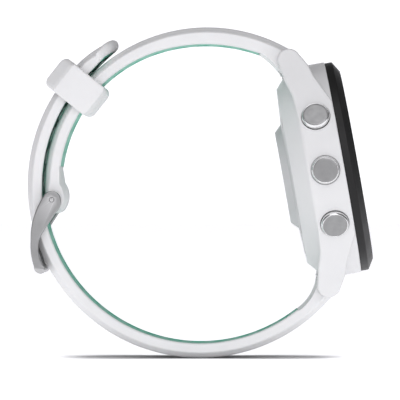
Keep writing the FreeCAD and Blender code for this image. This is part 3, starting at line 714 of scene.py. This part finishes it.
def tail_rounding(point, y):
    """Lift the tail, and pull its corners back so that its tip is round seen from above."""
    here = direction(point, LOOP) % 360
    if here > TAIL_END + TAIL_FADE:
        return point
    share = abs(y) / STRAP_HALF * TAIL_WIDE
    back = TAIL_ROUND * (1 - (1 - share ** TAIL_SHAPE) ** (1 / TAIL_SHAPE))
    fade = 1 - max(0.0, (here - TAIL_END) / TAIL_FADE)
    turn = math.degrees(back / LOOP_R) * fade
    return polar((point - LOOP).length + TAIL_LIFT * fade ** TAIL_EASE, here + turn)


def hole_cutter(degrees):
    """Oval hole, flared at both faces."""
    radial = polar(1, degrees) - LOOP
    along = Vector((-radial.y, radial.x))
    steps = 40
    rings = []
    for height, flare in HOLE_LEVELS:
        ring = []
        radius = HOLE_W / 2 + flare * HOLE_SLOPE
        for i in range(steps):
            a = 2 * math.pi * i / steps
            shift = math.copysign((HOLE_L - HOLE_W) / 2, math.cos(a))
            centre = LOOP + radial * (LOWER_IN + height) + along * (shift + radius * math.cos(a))
            ring.append((centre.x, radius * math.sin(a), centre.y))
        rings.append(ring)
    return skin("cutter", rings)


def tongue_line(offset, extra=0.0):
    """The tongue's curve, moved sideways by an offset and longer by some degrees."""
    tip = near_pin(*TONGUE_TIP)
    centre = circle_through(PIN, near_pin(*TONGUE_BOW), tip)
    start = direction(PIN, centre)
    end = direction(tip, centre) % 360
    return sweep((PIN - centre).length + offset, start, end + extra, 30, centre)


def tongue_strip(half, extra, share):
    """Closed outline at both sides of the tongue's curve."""
    return chain((tongue_line(half, extra), share), (tongue_line(-half, extra)[::-1], share))


def tongue_cutter():
    """Room in the strap for the tongue, at rest and swung out to its limit."""
    half = TONGUE_T / 2 + FREE
    swing = sum(joints[name]["range_deg"][1] for name in ("frame_hinge", "tongue_hinge"))
    turn = Matrix.Rotation(-math.radians(swing), 2)
    outer = [PIN + turn @ (point - PIN) for point in tongue_line(half)]
    outline = chain((outer, 0), (tongue_line(-half)[::-1], 0))
    return cutter(outline, -HOLE_W / 2, HOLE_W / 2)


def lever_cutter(bar, wrist):
    """Slot for the quick-release lever, from the bar to the wrist side."""
    along = (wrist - bar).normalized()
    across = Vector((-along.y, along.x)) * LEVER_HALF
    far = bar + along * ((wrist - bar).length + LEVER_PAST)
    return cutter(chain(([bar - across, far - across, far + across, bar + across], 0)), *LEVER_Y)


def liner(name, sectors, move=None):
    """Thin coloured layer with shallow pockets between ribs; sectors are (radius, from, to, centre)."""
    move = move or (lambda point, y: point)
    inner = []
    outer = []
    walked = 0.0
    for radius, a0, a1, centre in sectors:
        length = math.radians(abs(a1 - a0)) * radius
        count = max(8, round(length / (RIB_PITCH / RIB_STEPS)))
        for i, point in enumerate(sweep(radius, a0, a1, count, centre)):
            if inner and i == 0:
                continue
            out = (point - centre).normalized()
            inner.append((point, out, walked + length * i / count))
            outer.append(point + out * LINER_T)
        walked += length
    rings = []
    for y in liner_rings():
        pocket_y = min(1.0, max(0.0, (POCKET_HALF - abs(y)) / POCKET_RAMP))
        ring = []
        for point, out, along in inner:
            ends = min(along, walked - along)
            phase = (along / RIB_PITCH) % 1.0
            wave = min(1.0, max(0.0, (POCKET_SHARE - abs(phase - 0.5)) / RIB_FLANK))
            depth = RIB_DEPTH * wave * pocket_y if ends > RIB_PITCH / 2 else 0
            moved = move(point + out * depth, y)
            ring.append((moved.x, y, moved.y))
        for point in reversed(outer):
            moved = move(point, y)
            ring.append((moved.x, y, moved.y))
        rings.append(ring)
    return skin(name, rings, crease=40)


def lower_strap():
    """Long strap with its holes, and its coloured layer."""
    strap = layered("lower_band", lower_outline(), strap_layers(TAIL_CROWN), tail_rounding)
    lining = liner("lower_band_lining", [(LOWER_IN, *LOWER_LINER, LOOP)], tail_rounding)
    for piece in (strap, lining):
        for k in range(-HOLES_PER_SIDE, HOLES_PER_SIDE + 1):
            carve(piece, hole_cutter(HOLE_AT + HOLE_STEP * k))
        carve(piece, tongue_cutter())
        sharpen(piece.data)
    carve(strap, lever_cutter(LOWER_BAR, head_point(-LEVER_T, LEVER_N)))
    sharpen(strap.data)
    finish_piece(strap, white_silicone, None, ["strap_lower"])
    finish_piece(lining, teal_silicone, None, ["strap_lower_liner"])
    for piece in (strap, lining):
        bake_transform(piece)


# ---- upper strap ----
def upper_outline():
    """Closed outline of the short strap, from the upper bar to the buckle pin."""
    bar_deg = direction(UPPER_BAR, UPPER_OUT_CENTRE)
    barrel = UPPER_OUT_R2 - (UPPER_BAR - UPPER_OUT_CENTRE).length
    first, last = UPPER_LINER
    swell, extra = UPPER_SWELL
    wrist = head_point(WRIST_T, WRIST_N)
    swollen = polar(UPPER_IN_R2 - extra, swell, UPPER_IN_CENTRE)
    thick = arc(wrist, swollen, polar(UPPER_IN_R2, first, UPPER_IN_CENTRE), 20)
    heel = arc(near_pin(2.1, 3.3), near_pin(2.95, 0.7), near_pin(2.0, -2.1), 12)
    toe = arc(near_pin(2.0, -2.1), near_pin(0.4, -2.7), near_pin(-1.5, -1.2), 10)
    return chain(
        (sweep(barrel, bar_deg, bar_deg - BARREL_TURN, 12, UPPER_BAR), 0.6),
        ([head_point(BAR_GAP, END_N), wrist], 0.2),
        (thick[1:-1], 0.3),
        (sweep(UPPER_IN_R2, first, UPPER_IN_BEND, 60, UPPER_IN_CENTRE), SEAT),
        (sweep(UPPER_IN, UPPER_IN_BEND, last, 110)[1:], SEAT),
        (sweep(UPPER_IN, last, UPPER_END_IN, 1), 0.2),
        (heel, 0.6),
        (toe[1:], 0.8),
        (line(near_pin(-1.5, -1.2), near_pin(-1.55, 2.0), 5)[1:], 0.8),
        (sweep(UPPER_OUT, UPPER_END_OUT, UPPER_OUT_BEND, 60), 1),
        (sweep(UPPER_OUT_R2, UPPER_OUT_BEND, bar_deg, 150, UPPER_OUT_CENTRE), 1),
    )


def upper_strap():
    """Short strap, open for the tongue's eye, and its coloured layer."""
    strap = layered("upper_band", upper_outline(), strap_layers(CROWN))
    first, last = UPPER_LINER
    lining = liner("upper_band_lining", [
        (UPPER_IN_R2, first, UPPER_IN_BEND, UPPER_IN_CENTRE),
        (UPPER_IN, UPPER_IN_BEND, last, LOOP),
    ])
    slot = [near_pin(-5, -5), near_pin(5, -5), near_pin(5, 2), near_pin(-5, 2)]
    carve(strap, cutter(chain((slot, 0)), -TONGUE_GAP / 2, TONGUE_GAP / 2))
    carve(strap, lever_cutter(UPPER_BAR, head_point(LEVER_T, LEVER_N)))
    sharpen(strap.data)
    finish_piece(strap, white_silicone, "band", ["strap_upper"])
    finish_piece(lining, teal_silicone, "band", ["strap_upper_liner"])


# ---- keeper ----
def keeper_section():
    """Closed loop in (radius, y): facets at the outer and inner ends, softened corners."""
    half = [(KEEPER_OUT, 0.0)]
    for depth, from_side in ((0, 3.4), (0.12, 2.8), (2.2, 0.3), (2.6, 0.05), (3.1, 0)):
        half.append((KEEPER_OUT - depth, KEEPER_SIDE - from_side))
    for height, from_side in ((1.3, 0), (0.9, 0.12), (0.15, 1.2), (0, 1.7)):
        half.append((KEEPER_IN + height, KEEPER_SIDE - from_side))
    half.append((KEEPER_IN, 0.0))
    corners = half + [(r, -y) for r, y in reversed(half[1:-1])]
    filled = []
    for i, corner in enumerate(corners):
        here = Vector(corner)
        following = Vector(corners[(i + 1) % len(corners)])
        count = max(1, round((following - here).length / 0.7))
        filled += [here.lerp(following, k / count) for k in range(count)]
    return filled


def window_section():
    """Closed loop in (radius, y): the opening for both straps."""
    corners = []
    for r, y, start in (
        (WINDOW_OUT, WINDOW_SIDE, 0), (WINDOW_IN, WINDOW_SIDE, 90),
        (WINDOW_IN, -WINDOW_SIDE, 180), (WINDOW_OUT, -WINDOW_SIDE, 270),
    ):
        inward = Vector((math.copysign(WINDOW_ROUND, r - LOWER_IN), math.copysign(WINDOW_ROUND, y)))
        middle = Vector((r, y)) - inward
        for i in range(7):
            a = math.radians(start + 15 * i)
            corners.append(middle + Vector((math.cos(a), math.sin(a))) * WINDOW_ROUND)
    return corners


def resampled(loop, count):
    """The same closed loop with a number of evenly spread points, from the first one."""
    lengths = [0.0]
    for i in range(len(loop)):
        lengths.append(lengths[-1] + (loop[(i + 1) % len(loop)] - loop[i]).length)
    points = []
    at = 0
    for k in range(count):
        walked = lengths[-1] * k / count
        while lengths[at + 1] < walked:
            at += 1
        share = (walked - lengths[at]) / (lengths[at + 1] - lengths[at])
        points.append(loop[at].lerp(loop[(at + 1) % len(loop)], share))
    return points


def keeper():
    """Soft ring round both straps, with flat facets at its ends and rounded corners in side view."""
    outer = keeper_section()
    inner = resampled(window_section(), len(outer))
    opposite = Vector((WINDOW_OUT, 0))
    start = min(range(len(inner)), key=lambda i: (inner[i] - opposite).length)
    inner = inner[start:] + inner[:start]
    radial = polar(1, KEEPER_DEG) - LOOP
    along = Vector((-radial.y, radial.x))

    def place(section, u):
        """Point of a section moved by u along the band."""
        spot = LOOP + radial * section.x + along * u
        return (spot.x, section.y, spot.y)

    steps = 8
    # each ring has its share of the flat part's half length, and its turn round the edge
    half = [(0.0, 0.0), (0.5, 0.0)] + [(1.0, math.radians(90 * i / steps)) for i in range(steps + 1)]
    whole = [(-1, *ring) for ring in reversed(half)] + [(1, *ring) for ring in half[1:]]
    rings = []
    for sign, share, a in whole:
        ring = []
        for point, normal in zip(outer, outward(outer)):
            rounding = KEEPER_ROUND + KEEPER_CORNER * normal.x ** 2
            u = (KEEPER_HALF - rounding) * share + rounding * math.sin(a)
            ring.append(place(point - normal * rounding * (1 - math.cos(a)), sign * u))
        rings.append(ring)
    rim = [(KEEPER_HALF, WINDOW_EDGE), (KEEPER_HALF - 0.1, 0.1), (KEEPER_HALF - WINDOW_EDGE, 0.0)]
    for u, grow in rim + [(0.0, 0.0)] + [(-u, grow) for u, grow in reversed(rim)]:
        rings.append([place(point + normal * grow, u) for point, normal in zip(inner, outward(inner))])
    rings.append(rings[0])
    piece = skin("keeper_loop", rings, closed_ends=False, crease=24)
    finish_piece(piece, white_silicone, "keeper", ["keeper"])


# ---- buckle ----
def arm_foot():
    """Runs round an arm's lower end, from its outside to its inside."""
    return [
        arc(near_pin(-4.15, -8.1), near_pin(-4.05, -10.9), near_pin(-3.5, -13.2), 12),
        arc(near_pin(-3.5, -13.2), near_pin(-2.8, -14.4), near_pin(-1.55, -14.3), 10),
        arc(near_pin(-1.55, -14.3), near_pin(-1.3, -13.8), near_pin(-1.7, -12.9), 8),
    ]


def arm_outline():
    """Side view of one arm, from the pin down its outside and up its inside."""
    runs = [
        arc(near_pin(-1.3, 1.15), near_pin(-3.4, -2.9), near_pin(-4.15, -8.1), 24),
        *arm_foot(),
        arc(near_pin(-1.7, -12.9), near_pin(-2.4, -11.2), near_pin(-2.6, -9.0), 10),
        arc(near_pin(-2.6, -9.0), near_pin(-2.35, -7.5), near_pin(-1.7, -6.3), 8),
        line(near_pin(-1.7, -6.3), near_pin(0.7, -2.6), 10),
        arc(near_pin(0.7, -2.6), near_pin(1.6, -1.4), near_pin(1.75, 0.0), 10),
        arc(near_pin(1.75, 0.0), near_pin(0.3, 1.7), near_pin(-1.3, 1.15), 14),
    ]
    return chain(*[(run, 1) for run in runs])


def bevel_layers(y0, y1, size, steps=4):
    """Layers with both edges rounded by a size; one more ring keeps the end faces flat."""
    layers = [(y0, size + 0.05)]
    for i in range(steps + 1):
        a = math.radians(90 * i / steps)
        layers.append((y0 + size * (1 - math.cos(a)), size * (1 - math.sin(a))))
    back = [(y1 - (y - y0), inset) for y, inset in reversed(layers)]
    return layers + back


def front_bar():
    """Wide bar between the arms, held off the strap and open for the tongue."""
    outline = chain(
        *[(run, 0) for run in arm_foot()],
        ([near_pin(-2.2, -11.7)], 0),
        (sweep(LOOP_R + FREE, *FRONT_INSIDE, 10), 0),
        ([near_pin(-3.75, FRONT_TOP), near_pin(-4.08, FRONT_TOP)], 0),
    )
    reach = FRAME_IN + 0.2
    bar = layered("bar", outline, [(-reach, 0), (0, 0), (reach, 0)])
    half = TONGUE_GAP / 2
    window = [near_pin(-10, FRONT_LIP), near_pin(10, FRONT_LIP), near_pin(10, 0), near_pin(-10, 0)]
    carve(bar, cutter(chain((window, 0)), -half, half))
    carve(bar, cutter(tongue_strip(TONGUE_T / 2 + TONGUE_SEAT, 1.5, 0), -half, half))
    return bar


def buckle_arm(side):
    """Arm with soft edges, a stepped eye for the pin and a slanted end."""
    face = side * (FRAME_IN + FRAME_W)
    low = min(face, side * FRAME_IN)
    arm = layered("arm", arm_outline(), bevel_layers(low, low + FRAME_W, ARM_SOFT))
    step = face - PIN_EYE_DEPTH * side
    narrow = PIN_TIP + 0.12
    wide = PIN_R + 0.03
    eye = [(narrow, face + side), (narrow, step), (wide, step), (wide, face - 2 * FRAME_W * side)]
    carve(arm, lathe("cutter", eye, PIN_MIDDLE, Y_AXIS, X_AXIS, 40))
    x, z = ARM_CUT_AT
    heel = Vector((PIN.x + x, face, PIN.y + z))
    back, aside, down = ARM_CUT_DOWN
    slice_off(arm, heel, Vector((back, aside * side, down)).normalized())
    return arm


def buckle_frame():
    parts = [front_bar(), buckle_arm(-1), buckle_arm(1)]
    piece = join("buckle_frame_shell", parts)
    finish_piece(piece, blasted_steel, "buckle_frame", ["buckle_frame"])


def buckle_tongue():
    """Curved blade with its eye round the pin."""
    half = TONGUE_W / 2
    blade = layered("blade", tongue_strip(TONGUE_T / 2, 0.6, 1), bevel_layers(-half, half, 0.25))
    eye = chain((sweep(EYE_R, 0, 354, 60, PIN), 1))
    piece = join("buckle_tongue_shell", [blade, layered("eye", eye, bevel_layers(-half, half, 0.2))])
    finish_piece(piece, blasted_steel, "buckle_tongue", ["buckle_tongue"])


def buckle_pin():
    """Rod with narrow tips, flush with the arms."""
    end = FRAME_IN + FRAME_W
    profile = [(0.02, -end), (PIN_TIP - 0.06, -end), (PIN_TIP, -end + 0.06)]
    profile += [(PIN_TIP, -end + 0.3), (PIN_R, -end + 0.34)]
    profile += [(radius, -y) for radius, y in reversed(profile)]
    pin = lathe("buckle_pin_rod", profile, PIN_MIDDLE, Y_AXIS, X_AXIS, 40)
    finish_piece(pin, blasted_steel, "band", ["buckle_pin"])


# ---- buttons ----
def button_axis(degrees):
    """Outward direction of a button, from twelve o'clock towards nine."""
    a = math.radians(degrees)
    return HEAD_T * math.cos(a) + HEAD_Y * math.sin(a)


def button(name, degrees):
    """Satin face inside a bright flared flank, on its stem."""
    axis = button_axis(degrees)
    base = HEAD + HEAD_N * BUTTON_N
    face = BUTTON_FACE
    back = BUTTON_BACK
    r = BUTTON_FACE_R
    flank = BUTTON_R
    body = lathe(name + "_cap", [
        (0.05, STEM_END), (STEM_R, STEM_END), (STEM_R, back + 0.05),
        (flank - 0.12, back + 0.1), (flank - 0.02, back + 0.15), (flank, back + 0.25),
        (flank, face - 0.55), (flank - 0.04, face - 0.35), (r + 0.1, face - 0.12), (r + 0.05, face - 0.04),
        (r, face), (r - 0.05, face - 0.01), (r - 0.08, face - 0.06), (0.05, face - 0.08),
    ], base, axis, HEAD_N, crease=50)
    disc = lathe(name + "_cap_face", [
        (0.05, face - 0.2), (r - 0.09, face - 0.2), (r - 0.09, face - 0.05), (r - 0.12, face - 0.03),
        (r - 0.5, face - 0.03), (1.0, face - 0.035), (0.05, face - 0.035),
    ], base, axis, HEAD_N, crease=50)
    finish_piece(body, rim_metal, name + "_button", [name + "_button"])
    finish_piece(disc, cap_metal, name + "_button")


# ---- springs ----
def coil(name, start, axis, around, length, radius, turns, wire):
    """Wire coil that fills a length along an axis, with flat end turns."""
    side = axis.cross(around).normalized()
    front = side.cross(axis).normalized()
    rings = []
    for i in range(round(turns * COIL_STEPS) + 1):
        a = 2 * math.pi * i / COIL_STEPS
        share = min(1.0, max(0.0, (i / COIL_STEPS - COIL_FLAT) / (turns - 2 * COIL_FLAT)))
        out = front * math.cos(a) + side * math.sin(a)
        middle = start + out * radius + axis * (wire + (length - 2 * wire) * share)
        rings.append([middle + (out * math.cos(b) + axis * math.sin(b)) * wire for b in COIL_ROUND])
    return skin(name, rings, crease=60)


def button_spring(name, degrees):
    """Low coil under the cap, from the floor of its seat to the cap's back."""
    axis = button_axis(degrees)
    foot = HEAD + HEAD_N * BUTTON_N + axis * BUTTON_FLOOR
    length = BUTTON_BACK - BUTTON_FLOOR
    piece = coil(name + "_spring_coil", foot, axis, HEAD_N, length - COIL_PLAY, **BUTTON_COIL)
    finish_piece(piece, stamped_steel, "case", [name + "_spring"])
    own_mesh(piece)


def bar_spring(name, body):
    """Coil inside a spring bar, as long as the bar's spring."""
    low, high = [in_mm(corner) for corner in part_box(name)]
    middle = (low + high) / 2
    foot = Vector((middle.x, high.y, middle.z))
    length = high.y - low.y
    piece = coil(name + "_coil", foot, -Y_AXIS, X_AXIS, length - COIL_PLAY, **BAR_COIL)
    finish_piece(piece, stamped_steel, body, [name])
    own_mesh(piece)


# ---- sensor ----
def sensor_mask():
    """Ink layer under the sensor window, open over each diode."""
    base = HEAD + HEAD_N * INK_LEVEL
    profile = [(0.05, 0), (INK_R, 0), (INK_R, INK_T), (0.05, INK_T)]
    plate = lathe("sensor_ink", profile, base, HEAD_N, HEAD_T, 96)
    spots = [(0.0, 0.0, MIDDLE_HOLE)]
    for step in range(8):
        a = math.radians(45 * step)
        spots.append((DIODE_RING * math.cos(a), DIODE_RING * math.sin(a), DIODE_HOLE))
    for t, y, radius in spots:
        centre = base + HEAD_T * t + HEAD_Y * y
        hole = lathe("cutter", [(radius, -0.5), (radius, 0.5)], centre, HEAD_N, HEAD_T, 32)
        carve(plate, hole)
    finish_piece(plate, seal_rubber, "case")


# ---- studio ----
def floor():
    """Pale floor with painted light: it glows where nothing stands close to it, and the glow's fall near the watch
    is a painted contact shadow.
    """
    corners = [(-1, -1), (1, -1), (1, 1), (-1, 1)]
    mesh = bpy.data.meshes.new("floor")
    mesh.from_pydata([(x * FLOOR_HALF, y * FLOOR_HALF, 0) for x, y in corners], [], [(0, 1, 2, 3)])
    material, tree, surface, where = start_material("pale_floor")
    tone = two_tone(tree, noise(tree, where, 40.0), grey(0.67), grey(0.69))
    tree.links.new(tone, surface.inputs["Base Color"])
    surface.inputs["Roughness"].default_value = 0.9
    surface.inputs["Specular IOR Level"].default_value = 0.1
    # painted shadow: occlusion dims the floor's glow, darkest where the watch stands on it
    painted_shadow_occlusion = tree.nodes.new("ShaderNodeAmbientOcclusion")
    painted_shadow_occlusion.samples = 16
    painted_shadow_occlusion.inputs["Distance"].default_value = 0.011
    glow = spread(tree, painted_shadow_occlusion.outputs["AO"], 0.0, 0.86, 0.6, 1.0)
    tree.links.new(glow, surface.inputs["Emission Strength"])
    surface.inputs["Emission Color"].default_value = (0.97, 0.965, 1, 1)
    mesh.materials.append(material)
    link("floor", mesh)


def combined(tree, operation, first, second):
    node = tree.nodes.new("ShaderNodeMath")
    node.operation = operation
    tree.links.new(first, node.inputs[0])
    tree.links.new(second, node.inputs[1])
    return node.outputs["Value"]


def sky():
    """Bright world: brightest behind the camera, dimmer overhead and beside, white behind the watch."""
    world = bpy.data.worlds.new("studio")
    world.use_nodes = True
    tree = world.node_tree
    background = next(node for node in tree.nodes if node.type == "BACKGROUND")
    background.inputs["Color"].default_value = (0.975, 0.97, 1, 1)
    sight = tree.nodes.new("ShaderNodeTexCoord")
    split = tree.nodes.new("ShaderNodeSeparateXYZ")
    tree.links.new(sight.outputs["Generated"], split.inputs["Vector"])
    height = split.outputs["Z"]
    depth = split.outputs["Y"]
    overhead = spread(tree, height, SKY_LOW, SKY_HIGH, 0.1, 0.45, smooth=True)
    backdrop = spread(tree, depth, 0.0, 1.0, 0.9, 0.97, smooth=True)
    frontal = spread(tree, depth, SKY_FRONT, SKY_SIDE, -0.8, 0.05, smooth=True)
    dome = combined(tree, "MULTIPLY", overhead, frontal)
    tree.links.new(combined(tree, "ADD", dome, backdrop), background.inputs["Strength"])
    bpy.context.scene.world = world


def aim(item, place, target):
    """Put a lamp or camera at a place and turn it to a target."""
    item.location = place
    item.rotation_mode = "QUATERNION"
    item.rotation_quaternion = (target - place).to_track_quat("-Z", "Y")


def lamps():
    """Soft square lamps in front of the watch."""
    for name, place, side, power in LAMPS:
        data = bpy.data.lights.new(name, "AREA")
        data.shape = "SQUARE"
        data.size = side
        data.energy = power
        data.color = LAMP_COLOUR
        aim(link(name, data), Vector(place), LAMP_AIM)


def camera():
    """Long lens at the band's own level, looking across it."""
    data = bpy.data.cameras.new("camera")
    data.sensor_width = SENSOR_W
    data.lens = SENSOR_W * CAMERA_AWAY / VIEW_W
    data.clip_end = 20
    view = link("camera", data)
    aim(view, Vector(CAMERA_AT) * MM, Vector(CAMERA_AIM) * MM)
    bpy.context.scene.camera = view


camera()
floor()
sky()
lamps()
bpy.context.scene.view_settings.view_transform = "Standard"
dress_cad()
lower_strap()
upper_strap()
keeper()
buckle_frame()
buckle_tongue()
buckle_pin()
for label, angle in BUTTONS.items():
    button(label, angle)
    button_spring(label, angle)
bar_spring("upper_bar_spring", "band")
bar_spring("lower_bar_spring", "case")
sensor_mask()
